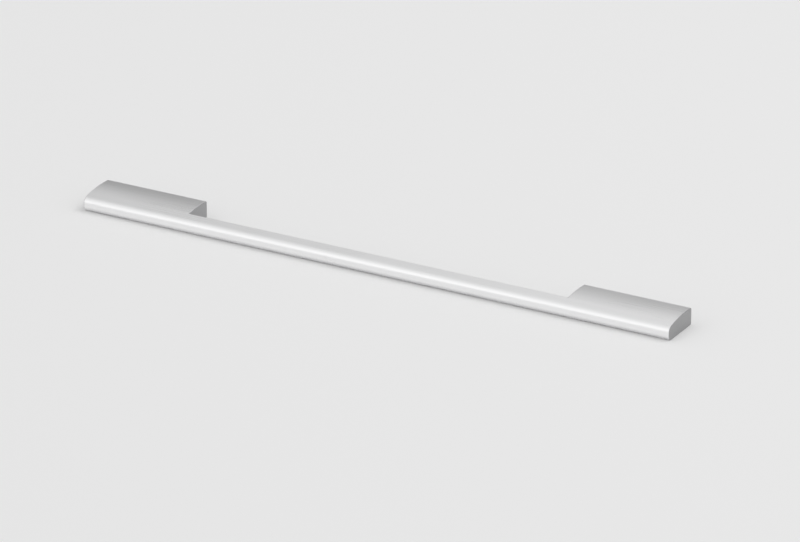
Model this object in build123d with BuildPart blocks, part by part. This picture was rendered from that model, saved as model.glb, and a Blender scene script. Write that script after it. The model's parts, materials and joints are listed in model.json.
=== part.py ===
"""Refrigerator door handle, milled from one length of solid aluminium profile.

Millimetres. X runs along the bar, -Y faces the user and +Z is up. The origin lies on the door plane,
midway between the two screws that hold the handle from behind.
"""

import os
from math import radians, sqrt, tan

from build123d import *

# Overall size
length = 622.2
projection = 44.5  # door plane to the front of the nose
height = 17.3  # flat underside to the highest line of the top

# Extruded section
crest_setback = 12.0  # door plane to the highest line of the top
crown_radius = 128.0  # gentle arch of the top, front to back
nose_radius = 6.5  # top into front
toe_radius = 5.0  # front into underside
shoulder_radius = 1.8  # top into back
heel_radius = 1.5  # underside into back

# Finger pocket between the feet
foot_length = 109.6
grip_depth = 12.5  # bar left in front of the pocket, front to back
pocket_corner_radius = 2.0  # left by the cutter where each foot meets the bar
pocket_rim_radius = 0.8  # softened edge under the fingers

# Sawn ends
end_edge_radius = 0.5

# Blind M5 holes in the backs of the feet
screw_spacing = 512.0  # set by the holes in the door
screw_height = 8.0  # underside to the screw axes
thread_radius = 2.5
mouth_chamfer = 0.3  # countersunk mouth, wider than the thread
mouth_angle = 90.0
hole_depth = 14.0  # at full diameter
drill_point_angle = 118.0

# Places and limits worked out from the sizes
underside = -screw_height
top = underside + height
pocket_width = length - 2 * foot_length
pocket_depth = projection - grip_depth
drill_point_length = thread_radius / tan(radians(drill_point_angle / 2))
crown_drop = crown_radius - sqrt(crown_radius**2 - (projection - crest_setback) ** 2)
front_wall = height - crown_drop  # room for the nose and the toe, one above the other
nose_fit = min(nose_radius, 0.65 * front_wall)
toe_fit = min(toe_radius, 0.4 * front_wall)
rim_fit = min(pocket_rim_radius, 0.9 * heel_radius)

with BuildPart() as door_handle:
    # Solid profile: flat underside and back, arched top, rounded nose
    with BuildSketch(Plane.YZ) as section:
        with Locations((0, underside)):
            Rectangle(projection, 2 * height, align=(Align.MAX, Align.MIN))
        with Locations((-crest_setback, top - crown_radius)):
            Circle(crown_radius, mode=Mode.INTERSECT)
        front, back, low, high = 0, -1, 0, -1  # places in the sorted corners
        for side, level, radius in (
            (front, high, nose_fit),
            (front, low, toe_fit),
            (back, high, shoulder_radius),
            (back, low, heel_radius),
        ):
            fillet(section.vertices().group_by(Axis.X)[side].sort_by(Axis.Y)[level], radius)
    extrude(amount=length / 2, both=True)

    # Finger pocket, milled straight down behind the bar, with its whole rim rounded in one run
    with BuildSketch(Plane.XY) as pocket:
        Rectangle(pocket_width, 2 * pocket_depth)
        fillet(pocket.vertices().group_by(Axis.Y)[0], pocket_corner_radius)
    extrude(amount=height, both=True, mode=Mode.SUBTRACT)
    fillet(door_handle.edges(Select.NEW), rim_fit)

    # Sawn ends with a broken edge
    ends = door_handle.faces().filter_by(Axis.X).sort_by(Axis.X)
    fillet(ends[0].edges() + ends[-1].edges(), end_edge_radius)

    # Screw holes, drilled and tapped from the door side
    with Locations(Plane.back):
        with GridLocations(screw_spacing, 0, 2, 1):
            CounterSinkHole(thread_radius, thread_radius + mouth_chamfer, hole_depth, mouth_angle)
            with Locations((0, 0, -hole_depth)):
                Cone(
                    thread_radius,
                    0,
                    drill_point_length,
                    rotation=(180, 0, 0),
                    align=(Align.CENTER, Align.CENTER, Align.MIN),
                    mode=Mode.SUBTRACT,
                )

door_handle.part.label = "door_handle"
os.makedirs("parts", exist_ok=True)
export_step(door_handle.part, "parts/door_handle.step")
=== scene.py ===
"""Looks of the refrigerator door handle: satin aluminium, tapped screw holes and a plain studio."""

import json
from math import cos, pi, radians, sin, tan

import bpy
from bpy.props import FloatProperty, FloatVectorProperty, IntProperty, PointerProperty
from bpy.types import Operator, Panel, PropertyGroup
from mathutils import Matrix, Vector


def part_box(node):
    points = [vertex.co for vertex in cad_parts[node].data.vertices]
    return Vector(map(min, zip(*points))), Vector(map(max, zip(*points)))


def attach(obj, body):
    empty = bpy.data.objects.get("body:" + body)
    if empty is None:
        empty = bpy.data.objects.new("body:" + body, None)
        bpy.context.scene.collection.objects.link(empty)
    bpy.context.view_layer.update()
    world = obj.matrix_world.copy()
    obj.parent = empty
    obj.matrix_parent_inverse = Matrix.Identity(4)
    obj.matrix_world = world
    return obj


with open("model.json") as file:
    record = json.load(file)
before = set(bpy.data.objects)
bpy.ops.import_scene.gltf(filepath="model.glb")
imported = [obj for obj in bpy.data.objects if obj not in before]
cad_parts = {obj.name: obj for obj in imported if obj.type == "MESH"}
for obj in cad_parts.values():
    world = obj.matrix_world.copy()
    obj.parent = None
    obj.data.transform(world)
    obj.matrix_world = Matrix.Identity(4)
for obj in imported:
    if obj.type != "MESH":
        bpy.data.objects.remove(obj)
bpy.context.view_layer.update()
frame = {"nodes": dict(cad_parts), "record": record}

bl_info = {
    "name": "Door Handle Looks",
    "version": (1, 0, 0),
    "blender": (4, 5, 0),
    "location": "3D View > Sidebar > Door Handle",
    "description": "Finish, screw threads and studio of a milled aluminium door handle",
    "category": "Object",
}

MM = 0.001
HANDLE = "door_handle"
BODY = "root"
LOW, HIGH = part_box(HANDLE)
SCREWS = next(mount for mount in frame["record"]["mounts"] if mount["name"] == "door_screws")
SCREW_SPACING = SCREWS["dims"]["spacing_x_mm"] * MM
HOLE_RADIUS = SCREWS["dims"]["hole_r_mm"] * MM

# Grain of the metal: its count of features in a metre along X, Y and Z
BRUSH_LINES = (8.0, 4200.0, 4200.0)
DIE_LINES = (2.5, 520.0, 520.0)
CUTTER_LINES = (3200.0, 3200.0, 70.0)
ETCH = (9000.0, 9000.0, 9000.0)
CLOUDS = (14.0, 45.0, 45.0)
TAP_RINGS = (900.0, 9000.0, 900.0)
FINE_DETAIL = 3.0

# Spread of the grain's noise round a half
DIE_SPREAD = 0.20
CLOUD_SPREAD = 0.25
RING_SPREAD = 0.25
FINE_SPREAD = 0.30

# Swing of the metal's tone and of its roughness with the grain
DIE_TONE = 0.006
CLOUD_TONE = 0.010
BRUSH_TONE = 0.012
CUTTER_TONE = 0.030
RING_TONE = 0.06
CLOUD_DULLNESS = 0.015
BRUSH_DULLNESS = 0.03
CUTTER_DULLNESS = 0.05
RING_DULLNESS = 0.06
TAPPED_ROUGHNESS = 0.34

# Height of the lines: the etch's share in the skin, and the cutter's height against the brush's
ETCH_SHARE = 0.35
CUTTER_HEIGHT = 2.0

# Edges of the cut faces: the nearest and farthest place of a cut's fade
END_FADE = (0.2 * MM, 0.7 * MM)  # from the sawn ends inwards, over their broken edge
RIM_FADE = (0.2 * MM, 0.9 * MM)  # from the pocket outwards, over its rounded rim
CORNER_FADE = (0.5 * MM, 2.0 * MM)  # from the side of a foot along the bar, round the cutter's corner

# Metric thread: its crest and depth as shares of the pitch, and the slope of its flanks
THREAD_CREST = 1 / 4
THREAD_DEPTH = 0.5413
THREAD_FLANK = radians(30)

# Making of the thread
ROOT_SINK = 0.05 * MM  # ridge's foot, let into the wall of the hole
CREST_BEVEL = 0.04 * MM
RUN_OUT = 0.7 * MM  # past the tapped depth, into the drilled bottom
COUNTERSINK_OVERHANG = 2 * MM  # its base, outside the hole
COUNTERSINK_SIDES = 96
WELD = 0.001 * MM
SMOOTH_ANGLE = radians(35)

# Dome of light: share of the half turn from the front horizon over the top to the back one, then the
# levels of its left, inner and outer arch there; the outer arch stands on both sides
DOME_LEVELS = (
    (0.00, 1.19, 1.14, 0.62),
    (0.19, 1.10, 1.04, 0.61),
    (0.36, 0.86, 0.86, 0.60),
    (0.60, 0.48, 1.00, 0.60),
    (0.66, 0.46, 1.00, 0.60),
    (0.74, 0.58, 1.03, 0.60),
    (0.81, 0.34, 0.73, 0.50),
    (0.86, 0.28, 0.61, 0.40),
    (1.00, 0.11, 0.22, 0.20),
)

# Sideways part of the arches' directions
OUTER_LEFT = -0.68
LEFT_ARCH = -0.54
INNER_ARCH = -0.28
OUTER_RIGHT = 0.10

# Soft box, floor and camera; lengths in metres
SOFT_BOX = (3.8, 2.6, 7.8)
SOFT_BOX_WIDTH = 6.0
FLOOR_WIDTH = 40.0
FLOOR_ROUGHNESS = 0.9
AIM_RIGHT = 6.72 * MM  # camera's aim in the picture, from the floor under the origin
AIM_UP = -11.67 * MM
FILM_WIDTH = 36.0  # millimetres
FARTHEST_VIEW = 100.0


class HandleFinish(PropertyGroup):
    """Colours and grain of the anodised aluminium; the cut colour is made dark as painted shade"""

    skin_colour: FloatVectorProperty(
        name="Skin colour",
        description="Anodised colour of the extruded faces",
        subtype="COLOR",
        default=(0.94, 0.94, 0.944),
        min=0.0,
        max=1.0,
    )
    # Cut colour: made much darker than the skin, as painted shade on the sawn ends, the sides of the feet
    # and the pocket
    cut_colour_with_painted_shade: FloatVectorProperty(
        name="Cut colour",
        description="Anodised colour of the faces cut across the bar",
        subtype="COLOR",
        default=(0.46, 0.46, 0.465),
        min=0.0,
        max=1.0,
    )
    skin_roughness: FloatProperty(
        name="Skin roughness",
        description="Roughness of the extruded faces",
        subtype="FACTOR",
        default=0.30,
        min=0.0,
        max=1.0,
    )
    cut_roughness: FloatProperty(
        name="Cut roughness",
        description="Roughness of the faces cut across the bar",
        subtype="FACTOR",
        default=0.52,
        min=0.0,
        max=1.0,
    )
    # The wall's share of the cut colour carries the same painted shade onto the pocket's long wall
    wall_share: FloatProperty(
        name="Wall share",
        description="How far the pocket's long wall, milled along the bar, goes from skin to cut",
        subtype="FACTOR",
        default=0.30,
        min=0.0,
        max=1.0,
    )
    grain_depth: FloatProperty(
        name="Grain depth",
        description="Height of the fine lines that the die, the saw and the cutter leave",
        unit="LENGTH",
        default=0.000004,
        min=0.0,
    )
    pocket_width: FloatProperty(
        name="Pocket width",
        description="Milled pocket from foot to foot",
        unit="LENGTH",
        default=0.403,
        min=0.0,
    )
    pocket_depth: FloatProperty(
        name="Pocket depth",
        description="Milled pocket from the door plane to the back of the bar",
        unit="LENGTH",
        default=0.032,
        min=0.0,
    )


class ScrewThread(PropertyGroup):
    """Sizes of the thread in the tapped holes"""

    pitch: FloatProperty(
        name="Pitch",
        description="Advance of the thread in one turn",
        unit="LENGTH",
        default=0.0008,
        min=0.0002,
    )
    depth: FloatProperty(
        name="Tapped depth",
        description="Depth of the thread from the door plane",
        unit="LENGTH",
        default=0.014,
        min=0.001,
    )
    mouth: FloatProperty(
        name="Mouth chamfer",
        description="Countersunk mouth of the hole, wider than the thread",
        unit="LENGTH",
        default=0.0003,
        min=0.0,
    )
    steps: IntProperty(
        name="Steps",
        description="Faces round one turn of the thread",
        default=48,
        min=12,
    )


class StudioSet(PropertyGroup):
    """Floor, light and camera"""

    floor_colour: FloatVectorProperty(
        name="Floor colour",
        description="Colour of the plain floor",
        subtype="COLOR",
        default=(0.94, 0.94, 0.94),
        min=0.0,
        max=1.0,
    )
    dome_level: FloatProperty(
        name="Dome level",
        description="Strength of the soft dome of light round the handle",
        default=1.0,
        min=0.0,
    )
    box_level: FloatProperty(
        name="Soft box level",
        description="Brightness of the soft box high above the handle, behind it and to its right",
        default=1.8,
        min=0.0,
    )
    azimuth: FloatProperty(
        name="Azimuth",
        description="Camera's turn to the right of the handle's front",
        subtype="ANGLE",
        default=radians(29.37),
    )
    elevation: FloatProperty(
        name="Elevation",
        description="Camera's height above the horizon",
        subtype="ANGLE",
        default=radians(23.24),
    )
    distance: FloatProperty(
        name="Distance",
        description="Camera to the point that it aims at",
        unit="LENGTH",
        default=5.627,
    )
    lens: FloatProperty(
        name="Lens",
        description="Focal length of the camera",
        unit="CAMERA",
        default=272.0,
    )


def add_node(tree, kind, **settings):
    node = tree.nodes.new(kind)
    for name, value in settings.items():
        setattr(node, name, value)
    return node


def feed(tree, socket, value):
    """Links a socket to another, or sets its value."""
    if isinstance(value, bpy.types.NodeSocket):
        tree.links.new(value, socket)
    else:
        socket.default_value = value


def work_out(tree, operation, first, second=0.0):
    node = add_node(tree, "ShaderNodeMath", operation=operation)
    feed(tree, node.inputs[0], first)
    feed(tree, node.inputs[1], second)
    return node.outputs["Value"]


def ramp(tree, value, start, end, low=0.0, high=1.0):
    """Smooth change from low to high as value goes from start to end."""
    node = add_node(tree, "ShaderNodeMapRange", interpolation_type="SMOOTHSTEP")
    feed(tree, node.inputs["Value"], value)
    node.inputs["From Min"].default_value = start
    node.inputs["From Max"].default_value = end
    node.inputs["To Min"].default_value = low
    node.inputs["To Max"].default_value = high
    return node.outputs["Result"]


def swing(tree, lines, spread, amount, middle=0.0):
    """Number that swings by amount round middle, as the lines swing by spread round a half."""
    return ramp(tree, lines, 0.5 - spread, 0.5 + spread, middle - amount, middle + amount)


def grain(tree, place, stretch, detail=2.0):
    """Noise stretched over the surface; stretch is its count of features in a metre along X, Y and Z."""
    mapping = add_node(tree, "ShaderNodeMapping")
    mapping.inputs["Scale"].default_value = stretch
    tree.links.new(place, mapping.inputs["Vector"])
    noise = add_node(tree, "ShaderNodeTexNoise")
    noise.inputs["Scale"].default_value = 1.0
    noise.inputs["Detail"].default_value = detail
    tree.links.new(mapping.outputs["Vector"], noise.inputs["Vector"])
    return noise.outputs["Fac"]


def blend_number(tree, share, first, second):
    node = add_node(tree, "ShaderNodeMix", data_type="FLOAT")
    feed(tree, node.inputs["Factor"], share)
    feed(tree, node.inputs["A"], first)
    feed(tree, node.inputs["B"], second)
    return node.outputs["Result"]


def blend_colour(tree, share, first, second):
    factor, first_colour, second_colour, result = 0, 6, 7, 2  # places of the colour sockets
    node = add_node(tree, "ShaderNodeMix", data_type="RGBA")
    feed(tree, node.inputs[factor], share)
    feed(tree, node.inputs[first_colour], first)
    feed(tree, node.inputs[second_colour], second)
    return node.outputs[result]


def new_metal(name):
    """Metal material with its nodes, its shader and the place on the piece."""
    material = bpy.data.materials.new(name)
    material.use_nodes = True
    tree = material.node_tree
    shader = tree.nodes["Principled BSDF"]
    shader.inputs["Metallic"].default_value = 1.0
    place = add_node(tree, "ShaderNodeTexCoord").outputs["Object"]
    return material, tree, shader, place


def colour_metal(tree, shader, colour, tone):
    """Gives the metal a colour, made lighter and darker by tone."""
    shaded = add_node(tree, "ShaderNodeVectorMath", operation="SCALE")
    feed(tree, shaded.inputs[0], colour)
    tree.links.new(tone, shaded.inputs["Scale"])
    tree.links.new(shaded.outputs["Vector"], shader.inputs["Base Color"])


def score_metal(tree, shader, height, depth):
    """Scores fine lines into the metal."""
    bump = add_node(tree, "ShaderNodeBump")
    bump.inputs["Strength"].default_value = 1.0
    bump.inputs["Distance"].default_value = depth
    tree.links.new(height, bump.inputs["Height"])
    tree.links.new(bump.outputs["Normal"], shader.inputs["Normal"])


def cut_faces(tree, place, finish):
    """Mask of where a tool has cut through the skin: sawn ends, sides of the feet and the bar's back. It
    also places the painted shade of the dark cut colour.
    """
    along = add_node(tree, "ShaderNodeSeparateXYZ")
    tree.links.new(place, along.inputs["Vector"])
    from_middle = work_out(tree, "ABSOLUTE", along.outputs["X"])
    half_pocket = finish.pocket_width / 2
    bar_back = -finish.pocket_depth
    end_near, end_far = END_FADE
    rim_near, rim_far = RIM_FADE
    corner_near, corner_far = CORNER_FADE
    at_end = ramp(tree, from_middle, HIGH.x - end_far, HIGH.x - end_near)
    between_feet = ramp(tree, from_middle, half_pocket + rim_near, half_pocket + rim_far, 1.0, 0.0)
    behind_bar = ramp(tree, along.outputs["Y"], bar_back - rim_far, bar_back - rim_near)
    corner_start, corner_end = half_pocket - corner_far, half_pocket - corner_near
    at_foot = ramp(tree, from_middle, corner_start, corner_end, finish.wall_share, 1.0)
    in_pocket = work_out(tree, "MULTIPLY", work_out(tree, "MULTIPLY", between_feet, behind_bar), at_foot)
    return work_out(tree, "MAXIMUM", at_end, in_pocket)


def satin_aluminium(finish):
    """Anodised aluminium: lines along the extruded skin, cutter lines on the sawn ends and in the pocket,
    which also take a darker colour as painted shade.
    """
    material, tree, shader, place = new_metal("satin_aluminium_anodised")
    cut = cut_faces(tree, place, finish)

    # Lines of the die and the brush along the bar, lines of the cutter up and down
    brush_lines = grain(tree, place, BRUSH_LINES, FINE_DETAIL)
    die_lines = grain(tree, place, DIE_LINES)
    cutter_lines = grain(tree, place, CUTTER_LINES, FINE_DETAIL)
    etch = grain(tree, place, ETCH)
    clouds = grain(tree, place, CLOUDS)

    # Colour, a little lighter and darker from line to line; the cut faces get the much darker cut colour,
    # painted shade on the sawn ends and in the pocket
    skin_tone = work_out(tree, "ADD", swing(tree, die_lines, DIE_SPREAD, DIE_TONE), 1.0)
    skin_tone = work_out(tree, "ADD", skin_tone, swing(tree, clouds, CLOUD_SPREAD, CLOUD_TONE))
    skin_tone = work_out(tree, "ADD", skin_tone, swing(tree, brush_lines, FINE_SPREAD, BRUSH_TONE))
    cut_tone = work_out(tree, "ADD", swing(tree, cutter_lines, FINE_SPREAD, CUTTER_TONE), 1.0)
    tone = blend_number(tree, cut, skin_tone, cut_tone)
    colour = blend_colour(tree, cut, (*finish.skin_colour, 1.0), (*finish.cut_colour_with_painted_shade, 1.0))
    colour_metal(tree, shader, colour, tone)

    # Roughness
    skin_dull = swing(tree, brush_lines, FINE_SPREAD, BRUSH_DULLNESS, finish.skin_roughness)
    skin_dull = work_out(tree, "ADD", skin_dull, swing(tree, clouds, CLOUD_SPREAD, CLOUD_DULLNESS))
    cut_dull = swing(tree, cutter_lines, FINE_SPREAD, CUTTER_DULLNESS, finish.cut_roughness)
    tree.links.new(blend_number(tree, cut, skin_dull, cut_dull), shader.inputs["Roughness"])

    # Height of the lines
    skin_height = blend_number(tree, ETCH_SHARE, brush_lines, etch)
    skin_height = work_out(tree, "ADD", skin_height, die_lines)
    cut_height = work_out(tree, "MULTIPLY", cutter_lines, CUTTER_HEIGHT)
    score_metal(tree, shader, blend_number(tree, cut, skin_height, cut_height), finish.grain_depth)
    return material


def tapped_aluminium(finish):
    """Bright flanks that a tap leaves, with fine rings round the hole, in the cut colour that is darkened as
    painted shade.
    """
    material, tree, shader, place = new_metal("tapped_aluminium")
    rings = grain(tree, place, TAP_RINGS, FINE_DETAIL)
    colour_metal(tree, shader, finish.cut_colour_with_painted_shade, swing(tree, rings, RING_SPREAD, RING_TONE, 1.0))
    dull = swing(tree, rings, RING_SPREAD, RING_DULLNESS, TAPPED_ROUGHNESS)
    tree.links.new(dull, shader.inputs["Roughness"])
    score_metal(tree, shader, rings, finish.grain_depth)
    return material


def floor_material(stage):
    """Plain pale matt floor."""
    material = bpy.data.materials.new("studio_floor")
    material.use_nodes = True
    shader = material.node_tree.nodes["Principled BSDF"]
    shader.inputs["Base Color"].default_value = (*stage.floor_colour, 1.0)
    shader.inputs["Roughness"].default_value = FLOOR_ROUGHNESS
    shader.inputs["Specular IOR Level"].default_value = 0.0
    return material


def light_arch(tree, share, levels):
    """Levels of one arch of the dome by the share of its half turn."""
    shades = add_node(tree, "ShaderNodeValToRGB")
    tree.links.new(share, shades.inputs["Fac"])
    stops = shades.color_ramp.elements
    for place, level in levels:
        if place == 0.0:
            stop = stops[0]
        elif place == 1.0:
            stop = stops[-1]
        else:
            stop = stops.new(place)
        stop.color = (level, level, level, 1.0)
    return shades.outputs["Color"]


def light_dome(stage):
    """Soft dome, brightest in front of the handle, dimmer at the back and at both sides."""
    world = bpy.data.worlds.new("light_dome")
    world.use_nodes = True
    tree = world.node_tree
    way = add_node(tree, "ShaderNodeSeparateXYZ")
    tree.links.new(add_node(tree, "ShaderNodeTexCoord").outputs["Generated"], way.inputs["Vector"])
    sideways = way.outputs["X"]
    to_front = work_out(tree, "MULTIPLY", way.outputs["Y"], -1.0)
    share = work_out(tree, "DIVIDE", work_out(tree, "ARCTAN2", way.outputs["Z"], to_front), pi)
    places, *arches = zip(*DOME_LEVELS)
    left, inner, outer = (light_arch(tree, share, zip(places, levels)) for levels in arches)
    colour = blend_colour(tree, ramp(tree, sideways, OUTER_LEFT, LEFT_ARCH), outer, left)
    colour = blend_colour(tree, ramp(tree, sideways, LEFT_ARCH, INNER_ARCH), colour, inner)
    colour = blend_colour(tree, ramp(tree, sideways, INNER_ARCH, OUTER_RIGHT), colour, outer)
    background = tree.nodes["Background"]
    tree.links.new(colour, background.inputs["Color"])
    background.inputs["Strength"].default_value = stage.dome_level
    return world


def add_softbox(name, centre, width, level):
    """Square soft lamp, aimed at the handle, whose power follows its level and its area."""
    light = bpy.data.lights.new(name, "AREA")
    light.size = width
    light.energy = level * width * width * pi
    lamp = bpy.data.objects.new(name, light)
    bpy.context.scene.collection.objects.link(lamp)
    lamp.location = centre
    lamp.rotation_euler = Vector(centre).to_track_quat("Z", "Y").to_euler()


def pick(context, piece):
    """Selects one object alone and makes it active."""
    bpy.ops.object.select_all(action="DESELECT")
    piece.select_set(True)
    context.view_layer.objects.active = piece


class DOORHANDLE_OT_finish(Operator):
    """Gives the handle its satin aluminium"""

    bl_idname = "door_handle.finish"
    bl_label = "Finish the Handle"

    def execute(self, context):
        material = satin_aluminium(context.scene.handle_finish)
        frame["nodes"][HANDLE].material_slots[0].material = material
        return {"FINISHED"}


class DOORHANDLE_OT_threads(Operator):
    """Models the screw thread of both tapped holes"""

    bl_idname = "door_handle.threads"
    bl_label = "Tap the Screw Holes"

    def execute(self, context):
        thread = context.scene.handle_thread
        left = self.ridge(context, thread)
        self.cut_mouth(context, thread, left)
        left.data.materials.append(tapped_aluminium(context.scene.handle_finish))
        pick(context, left)
        bpy.ops.object.duplicate(linked=False)
        right = context.object
        bpy.ops.transform.translate(value=(SCREW_SPACING, 0, 0))
        for piece, name in ((left, "left_screw_thread"), (right, "right_screw_thread")):
            piece.name = name
            piece.data.name = name
            pick(context, piece)
            bpy.ops.object.transform_apply(location=True, rotation=True, scale=True)
            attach(piece, BODY)
        return {"FINISHED"}

    def ridge(self, context, thread):
        """Right-hand ridge of the left hole, from outside its mouth to its drilled bottom."""
        pitch = thread.pitch
        crest_width = THREAD_CREST * pitch
        ridge_depth = THREAD_DEPTH * pitch
        crest_radius = HOLE_RADIUS - ridge_depth
        tooth_height = ridge_depth + ROOT_SINK
        tooth_middle = crest_radius + tooth_height / 2
        foot_width = crest_width + 2 * tan(THREAD_FLANK) * tooth_height
        start = pitch / 2
        turns = int((start + thread.depth + RUN_OUT) / pitch)

        # Profile: a flat-topped tooth, crest towards the hole's axis
        bpy.ops.object.select_all(action="DESELECT")
        bpy.ops.mesh.primitive_plane_add(size=1.0, location=(-SCREW_SPACING / 2, 0, 0))
        ridge = context.object
        bpy.ops.object.mode_set(mode="EDIT")
        bpy.ops.transform.resize(value=(tooth_height, foot_width, 1.0))
        bpy.ops.transform.translate(value=(tooth_middle, start, 0))
        bpy.ops.mesh.select_all(action="DESELECT")
        bpy.ops.object.mode_set(mode="OBJECT")
        for vertex in ridge.data.vertices:
            vertex.select = vertex.co.x < tooth_middle
        bpy.ops.object.mode_set(mode="EDIT")
        bpy.ops.transform.resize(value=(1.0, crest_width / foot_width, 1.0))
        bpy.ops.mesh.bevel(affect="VERTICES", offset=CREST_BEVEL, segments=2)
        bpy.ops.mesh.select_all(action="SELECT")
        bpy.ops.mesh.delete(type="ONLY_FACE")
        bpy.ops.object.mode_set(mode="OBJECT")

        # Swept round and down the hole, clockwise as seen from its mouth, then closed at both ends
        screw = ridge.modifiers.new("turns", "SCREW")
        screw.axis = "Y"
        screw.angle = -2 * pi
        screw.screw_offset = -pitch
        screw.iterations = turns
        screw.steps = thread.steps
        screw.render_steps = thread.steps
        bpy.ops.object.modifier_apply(modifier=screw.name)
        bpy.ops.object.mode_set(mode="EDIT")
        bpy.ops.mesh.select_all(action="SELECT")
        bpy.ops.mesh.remove_doubles(threshold=WELD)
        bpy.ops.mesh.fill_holes(sides=0)
        bpy.ops.mesh.normals_make_consistent(inside=False)
        bpy.ops.object.mode_set(mode="OBJECT")
        if len(ridge.data.polygons) < turns * thread.steps:
            raise RuntimeError("the screw thread lost its turns")
        return ridge

    def cut_mouth(self, context, thread, ridge):
        """Cuts the first turn off along the countersunk mouth of the hole."""
        size = HOLE_RADIUS + thread.mouth + COUNTERSINK_OVERHANG
        bpy.ops.object.select_all(action="DESELECT")
        bpy.ops.mesh.primitive_cone_add(
            vertices=COUNTERSINK_SIDES,
            radius1=size,
            radius2=0.0,
            depth=size,
            location=(-SCREW_SPACING / 2, COUNTERSINK_OVERHANG - size / 2, 0),
            rotation=(pi / 2, 0, 0),
        )
        countersink = context.object
        pick(context, ridge)
        trim = ridge.modifiers.new("mouth", "BOOLEAN")
        trim.operation = "DIFFERENCE"
        trim.solver = "EXACT"
        trim.object = countersink
        faces_before = len(ridge.data.polygons)
        bpy.ops.object.modifier_apply(modifier=trim.name)
        if len(ridge.data.polygons) in (0, faces_before):
            raise RuntimeError("the countersink did not cut the screw thread")
        pick(context, countersink)
        bpy.ops.object.delete()
        pick(context, ridge)
        bpy.ops.object.shade_smooth_by_angle(angle=SMOOTH_ANGLE)


class DOORHANDLE_OT_stage(Operator):
    """Sets up the floor, the light and the camera"""

    bl_idname = "door_handle.stage"
    bl_label = "Set the Stage"

    def execute(self, context):
        stage = context.scene.handle_stage
        bpy.ops.object.select_all(action="DESELECT")
        bpy.ops.mesh.primitive_plane_add(size=FLOOR_WIDTH, location=(0, 0, LOW.z))
        floor = context.object
        floor.name = "studio_floor"
        floor.data.materials.append(floor_material(stage))

        context.scene.world = light_dome(stage)
        add_softbox("soft_box", SOFT_BOX, SOFT_BOX_WIDTH, stage.box_level)

        turn, lift = stage.azimuth, stage.elevation
        back = Vector((sin(turn) * cos(lift), -cos(turn) * cos(lift), sin(lift)))
        right = Vector((cos(turn), sin(turn), 0))
        up = back.cross(right)
        camera = bpy.data.cameras.new("photo_camera")
        camera.sensor_width = FILM_WIDTH
        camera.lens = stage.lens
        camera.clip_end = FARTHEST_VIEW
        viewer = bpy.data.objects.new("photo_camera", camera)
        context.scene.collection.objects.link(viewer)
        aim = Vector((0, 0, LOW.z)) + right * AIM_RIGHT + up * AIM_UP
        viewer.location = aim + back * stage.distance
        viewer.rotation_euler = back.to_track_quat("Z", "Y").to_euler()
        context.scene.camera = viewer
        context.scene.view_settings.view_transform = "Standard"
        return {"FINISHED"}


class DOORHANDLE_PT_looks(Panel):
    """Lists the handle's looks"""

    bl_idname = "DOORHANDLE_PT_looks"
    bl_label = "Door Handle"
    bl_space_type = "VIEW_3D"
    bl_region_type = "UI"
    bl_category = "Door Handle"

    def draw(self, context):
        scene = context.scene
        steps = (
            (scene.handle_finish, DOORHANDLE_OT_finish),
            (scene.handle_thread, DOORHANDLE_OT_threads),
            (scene.handle_stage, DOORHANDLE_OT_stage),
        )
        for settings, operator in steps:
            box = self.layout.box()
            for name in type(settings).__annotations__:
                box.prop(settings, name)
            box.operator(operator.bl_idname)


CLASSES = (
    HandleFinish,
    ScrewThread,
    StudioSet,
    DOORHANDLE_OT_finish,
    DOORHANDLE_OT_threads,
    DOORHANDLE_OT_stage,
    DOORHANDLE_PT_looks,
)


def register():
    for cls in CLASSES:
        bpy.utils.register_class(cls)
    bpy.types.Scene.handle_finish = PointerProperty(type=HandleFinish)
    bpy.types.Scene.handle_thread = PointerProperty(type=ScrewThread)
    bpy.types.Scene.handle_stage = PointerProperty(type=StudioSet)


def unregister():
    del bpy.types.Scene.handle_stage
    del bpy.types.Scene.handle_thread
    del bpy.types.Scene.handle_finish
    for cls in reversed(CLASSES):
        bpy.utils.unregister_class(cls)


def main():
    register()
    bpy.ops.door_handle.finish()
    bpy.ops.door_handle.threads()
    bpy.ops.door_handle.stage()


if __name__ == "__main__":
    main()
